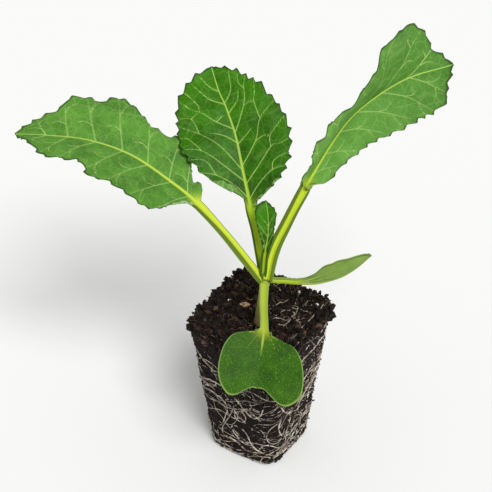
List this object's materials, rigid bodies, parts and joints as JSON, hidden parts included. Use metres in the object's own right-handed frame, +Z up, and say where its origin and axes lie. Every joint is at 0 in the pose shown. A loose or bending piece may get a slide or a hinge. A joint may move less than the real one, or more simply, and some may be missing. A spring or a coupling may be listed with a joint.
{
  "type": "cabbage seedling plug",
  "caption": "Young cabbage plant with toothed true leaves and heart-shaped seed leaves, growing in a square, root-bound plug of potting mix with no pot.",
  "frame": {"origin": "the middle of the plug's flat bottom face", "axes": "+Z up along the plant, the longest extent; the plug's four sides lie along X and Y; the front seed leaf hangs over the edge between the -Y and +X sides"},
  "size_m": [0.1279, 0.0972, 0.1631],
  "materials": {
    "potting_mix": "matte",
    "stem": "satin",
    "outer_leaf": "matte",
    "centre_leaf": "satin",
    "seed_leaf": "matte",
    "root": "matte",
    "bark": "matte",
    "perlite": "matte"
  },
  "bodies": {
    "root": {"potting_mix_plug": "potting_mix", "stem": "stem", "leaf_left": "outer_leaf", "leaf_right": "outer_leaf", "leaf_centre": "centre_leaf", "leaf_young": "centre_leaf", "cotyledon_front": "seed_leaf", "cotyledon_right": "seed_leaf", "root_01": "root", "root_02": "root", "root_03": "root", "root_04": "root", "root_05": "root", "root_06": "root", "root_07": "root", "root_08": "root", "root_09": "root", "root_10": "root", "root_11": "root", "root_12": "root", "root_13": "root", "root_14": "root", "root_15": "root", "root_16": "root", "bark_chip": "bark", "perlite_chip_1": "perlite", "perlite_chip_2": "perlite", "perlite_chip_3": "perlite"}
  },
  "joints": []
}
